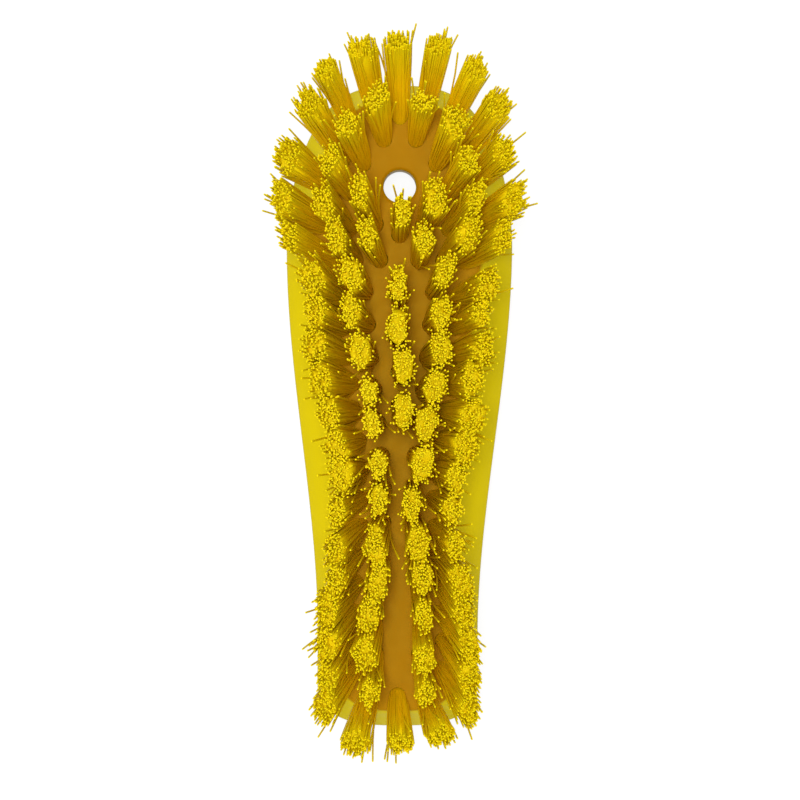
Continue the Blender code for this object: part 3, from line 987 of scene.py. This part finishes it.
def walled(shape, layers):
    """Joins each ring of points to the next with faces."""
    for upper, lower in zip(layers, layers[1:]):
        for i in range(len(upper)):
            j = (i + 1) % len(upper)
            shape.faces.new((upper[i], upper[j], lower[j], lower[i]))


def closed_mesh(shape, name):
    """The closed shape as a mesh whose faces point outwards."""
    bmesh.ops.recalc_face_normals(shape, faces=shape.faces)
    mesh = bpy.data.meshes.new(name)
    shape.to_mesh(mesh)
    shape.free()
    return mesh


def build_block(block):
    """The block without its holes: rings down its sides, a flat face and a back closed by strips."""
    shape = bmesh.new()
    rings = [ring_of(block, inset, height) for inset, height in block_rings(block)]
    layers = [[shape.verts.new(point) for point in ring] for ring in rings]
    walled(shape, layers)
    shape.faces.new(layers[0])
    back = layers[-1]
    for i in range(len(back) // 2):
        strip = [back[i], back[i + 1], back[-i - 1], back[-i] if i else back[0]]
        shape.faces.new(list(dict.fromkeys(strip)))
    return closed_mesh(shape, "block_body")


def ring_of(block, inset, height):
    """A closed ring round the block, at a height that may vary along it."""
    right = half_plan(block, inset, HEAD_STEPS, SIDE_STEPS, TAIL_STEPS)
    left = [(-x, y) for x, y in reversed(right[1:-1])]
    return [Vector((x, y, height(y))) for x, y in right + left]


def block_rings(block):
    """Each ring's inset and its height, from the bristle face down to the back."""
    brim_z = block.height - block.slope_drop
    edge, brim = block.face_round, block.brim_round / 2

    def level(z):
        return lambda y: z

    def towards_back(top, down):
        return lambda y: top + (back_rise(block, y) - top) * down

    rings = []
    for step in range(ROUND_STEPS + 1):
        turn = math.pi / 4 * step / ROUND_STEPS
        z = block.height - edge * (1 - math.cos(turn))
        rings.append((grown(FACE_EDGE, edge - edge * math.sin(turn)), level(z)))
    inset, height = rings[-1]
    start_z = height(0.0)
    for step in range(1, SLOPE_STEPS):
        share = step / SLOPE_STEPS
        kept = 1 - share
        slope = Inset(inset.side * kept, inset.grip * kept, inset.head * kept, inset.tail * kept)
        rings.append((grown(slope, brim * share), level(start_z + (brim_z + brim - start_z) * share)))
    for step in range(ROUND_STEPS + 1):
        turn = math.pi / 4 + math.pi / 4 * step / ROUND_STEPS
        z = brim_z + brim * (2 * math.cos(turn) - BRIM_SHIFT)
        rings.append((grown(BRIM, brim * (1 - math.sin(turn))), level(z)))
    top = rings[-1][1](0.0)
    for step in range(1, BACK_STEPS + 1):
        down, inwards = turned(step, BACK_STEPS)
        side, end = BACK_SIDE_ROUND * inwards, BACK_END_ROUND * inwards
        rings.append((Inset(side, 0.0, end, end), towards_back(top, down)))
    return rings


def lathe(name, centre, profile, sides):
    """A closed solid turned about a vertical line, from heights and radii."""
    shape = bmesh.new()
    layers = []
    for z, radius in profile:
        angles = [math.tau * i / sides for i in range(sides)]
        points = [centre + Vector((radius * math.cos(a), radius * math.sin(a), z)) for a in angles]
        layers.append([shape.verts.new(point) for point in points])
    walled(shape, layers)
    shape.faces.new(layers[0])
    shape.faces.new(layers[-1])
    return new_object(name, closed_mesh(shape, name))


def hole_profile(block, hole_y):
    """Heights and radii of the hanging hole's cutter, which rounds its mouth in the bristle face."""
    radius, edge = block.hanging_hole / 2, block.hole_round
    mouth = []
    for step in range(ROUND_STEPS, -1, -1):
        up, outwards = turned(step, ROUND_STEPS)
        mouth.append((block.height - edge * (1 - up), radius + edge * outwards))
    below = back_rise(block, hole_y) - HOLE_CUTTER_BELOW * edge
    return [(block.height + edge, mouth[0][1]), *mouth, (below, radius)]


def cut(obj, cutters):
    """Cuts these solids out of the object and removes them."""
    for cutter in cutters:
        modifier = obj.modifiers.new(cutter.name, "BOOLEAN")
        modifier.operation = "DIFFERENCE"
        modifier.solver = "EXACT"
        modifier.object = cutter
    made_plain(obj)
    for cutter in cutters:
        bpy.data.objects.remove(cutter, do_unlink=True)


class SCRUB_OT_block(bpy.types.Operator):
    """Make the moulded block with its hanging hole and the holes for the tufts"""

    bl_idname = "scrub.block"
    bl_label = "Block"

    def execute(self, context):
        block, bristles = context.scene.scrub_block, context.scene.scrub_bristles
        plastic = block_plastic(block.colour, block.face_shade_colour, block.height)
        body = new_object("block_body", build_block(block))
        body.data.materials.append(plastic)
        hole_y = block.length / 2 - HOLE_FROM_HEAD_END
        profile = hole_profile(block, hole_y)
        hole = lathe("hanging_hole", Vector((0, hole_y, 0)), profile, HOLE_SIDES)
        tufts = [tuft for row in tuft_groups(block, bristles.length).values() for tuft in row]
        drills = tuft_points("tuft_drills", tufts)
        values = {
            "Diameter": block.tuft_hole,
            "Depth": block.tuft_hole_depth,
            "Above": DRILL_ABOVE,
            "Material": plastic,
        }
        run_tree(drills, drill_tree(), values)
        cut(body, [hole, drills])
        body.data.shade_smooth()
        body.data.set_sharp_from_angle(angle=SHARP_EDGE)
        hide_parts("block")
        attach(body, "root")
        return {"FINISHED"}


# The tufts and the staples


class SCRUB_OT_tufts(bpy.types.Operator):
    """Make the tufts of filaments, one mesh for each group of neighbours"""

    bl_idname = "scrub.tufts"
    bl_label = "Tufts"

    def execute(self, context):
        block, bristles = context.scene.scrub_block, context.scene.scrub_bristles
        plastic = filament_plastic(bristles.colour, bristles.bounce_light_colour)
        tree = filament_tree()
        values = {
            "Material": plastic,
            "Filaments": bristles.filaments,
            "Length": bristles.length,
            "Root Depth": ROOT_DEPTH,
            "Root Radius": (block.tuft_hole - bristles.filament_width) / 2 - ROOT_CLEARANCE,
            "Filament Radius": bristles.filament_width / 2,
            "Half Along": bristles.patch_along / 2,
            "Half Across": bristles.patch_across / 2,
            "Raggedness": bristles.raggedness,
            "Clumping": bristles.clumping,
            "Wander": bristles.wander,
            "Stray": bristles.stray,
            "Core Width": bristles.core_width,
            "Core Height": bristles.core_height,
        }
        for number, (name, tufts) in enumerate(tuft_groups(block, bristles.length).items()):
            piece = tuft_points(f"filaments_{name}", tufts)
            run_tree(piece, tree, {**values, "Seed": bristles.seed + GROUP_SEED_STEP * number})
            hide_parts(f"tufts_{name}")
            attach(piece, "root")
        return {"FINISHED"}


class SCRUB_OT_staples(bpy.types.Operator):
    """Dress the staples that hold the tufts"""

    bl_idname = "scrub.staples"
    bl_label = "Staples"

    def execute(self, context):
        steel = staple_steel()
        for name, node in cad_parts.items():
            if name.startswith("staples_"):
                for place in node.material_slots:
                    place.material = steel
        return {"FINISHED"}


# The stage


def background_seen(nodes, links):
    """1 for a ray that finds the plain background: from the camera, off gloss or through glass."""
    path = nodes.new("ShaderNodeLightPath")
    seen = path.outputs["Is Camera Ray"]
    for name in ("Is Glossy Ray", "Is Transmission Ray"):
        either = nodes.new("ShaderNodeMath")
        either.operation = "MAXIMUM"
        links.new(seen, either.inputs[0])
        links.new(path.outputs[name], either.inputs[1])
        seen = either.outputs[0]
    return seen


def floor_material():
    """Pale floor that looks white and still takes the brush's shadow."""
    material = bpy.data.materials.new("pale_floor")
    material.use_nodes = True
    nodes, links = material.node_tree.nodes, material.node_tree.links
    nodes.clear()
    out = nodes.new("ShaderNodeOutputMaterial")
    diffuse = nodes.new("ShaderNodeBsdfDiffuse")
    diffuse.inputs["Color"].default_value = FLOOR_GREY
    glow = nodes.new("ShaderNodeEmission")
    lift = ranged(nodes, links, background_seen(nodes, links), 0.0, FLOOR_GLOW)
    links.new(lift, glow.inputs["Strength"])
    add = nodes.new("ShaderNodeAddShader")
    links.new(diffuse.outputs[0], add.inputs[0])
    links.new(glow.outputs[0], add.inputs[1])
    links.new(add.outputs[0], out.inputs["Surface"])
    return material


def pale_world(strength):
    """Even light of this strength from all round, which looks white as a background."""
    world = bpy.data.worlds.new("pale_world")
    world.use_nodes = True
    nodes, links = world.node_tree.nodes, world.node_tree.links
    sky = nodes["Background"]
    sky.inputs["Color"].default_value = (1.0, 1.0, 1.0, 1.0)
    lift = ranged(nodes, links, background_seen(nodes, links), strength, 1.0)
    links.new(lift, sky.inputs["Strength"])
    bpy.context.scene.world = world


def soft_lamp(name, place, width, power):
    """A square lamp that points at the middle of the brush."""
    lamp = bpy.data.lights.new(name, "AREA")
    lamp.energy = power
    lamp.size = width
    obj = new_object(name, lamp)
    obj.location = place
    obj.rotation_euler = (-Vector(place)).to_track_quat("-Z", "Y").to_euler()


class SCRUB_OT_stage(bpy.types.Operator):
    """Make the pale floor, the lamps and the camera that looks straight down"""

    bl_idname = "scrub.stage"
    bl_label = "Stage"

    def execute(self, context):
        stage = context.scene.scrub_stage
        mesh = bpy.data.meshes.new("floor")
        ways = ((-1, -1), (1, -1), (1, 1), (-1, 1))
        corners = [(x * FLOOR_REACH, y * FLOOR_REACH, 0) for x, y in ways]
        mesh.from_pydata(corners, [], [(0, 1, 2, 3)])
        floor = new_object("floor", mesh)
        mesh.materials.append(floor_material())
        pale_world(stage.sky)
        for name, (place, width, setting) in LAMPS.items():
            soft_lamp(name, place, width, getattr(stage, setting))
        camera = new_object("camera", bpy.data.cameras.new("camera"))
        camera.data.lens = stage.lens
        camera.data.clip_end = CAMERA_REACH
        camera.location = Vector(stage.centre) + stage.camera_height * UP
        camera.rotation_euler = (0.0, 0.0, stage.roll)
        context.scene.camera = camera
        context.scene.view_settings.view_transform = "Standard"
        return {"FINISHED"}


class SCRUB_PT_panel(bpy.types.Panel):
    """The brush's pieces and their settings."""

    bl_idname = "SCRUB_PT_panel"
    bl_label = "Scrub Brush"
    bl_space_type = "VIEW_3D"
    bl_region_type = "UI"
    bl_category = "Scrub Brush"

    def draw(self, context):
        scene = context.scene
        sections = (
            (scene.scrub_block, (SCRUB_OT_block,)),
            (scene.scrub_bristles, (SCRUB_OT_tufts, SCRUB_OT_staples)),
            (scene.scrub_stage, (SCRUB_OT_stage,)),
        )
        for settings, operators in sections:
            box = self.layout.box()
            for name in settings.bl_rna.properties.keys():
                if name not in {"rna_type", "name"}:
                    box.prop(settings, name)
            for operator in operators:
                box.operator(operator.bl_idname)


SETTINGS = {"scrub_block": BlockSettings, "scrub_bristles": BristleSettings, "scrub_stage": StageSettings}
OPERATORS = (SCRUB_OT_block, SCRUB_OT_tufts, SCRUB_OT_staples, SCRUB_OT_stage)
CLASSES = (*SETTINGS.values(), *OPERATORS, SCRUB_PT_panel)


def register():
    """Registers the settings, the operators and the panel."""
    for item in CLASSES:
        bpy.utils.register_class(item)
    for name, settings in SETTINGS.items():
        setattr(bpy.types.Scene, name, PointerProperty(type=settings))


def unregister():
    """Takes the settings, the operators and the panel away."""
    for name in SETTINGS:
        delattr(bpy.types.Scene, name)
    for item in reversed(CLASSES):
        bpy.utils.unregister_class(item)


def main():
    """Makes every piece."""
    register()
    bpy.ops.scrub.block()
    bpy.ops.scrub.tufts()
    bpy.ops.scrub.staples()
    bpy.ops.scrub.stage()


if __name__ == "__main__":
    main()
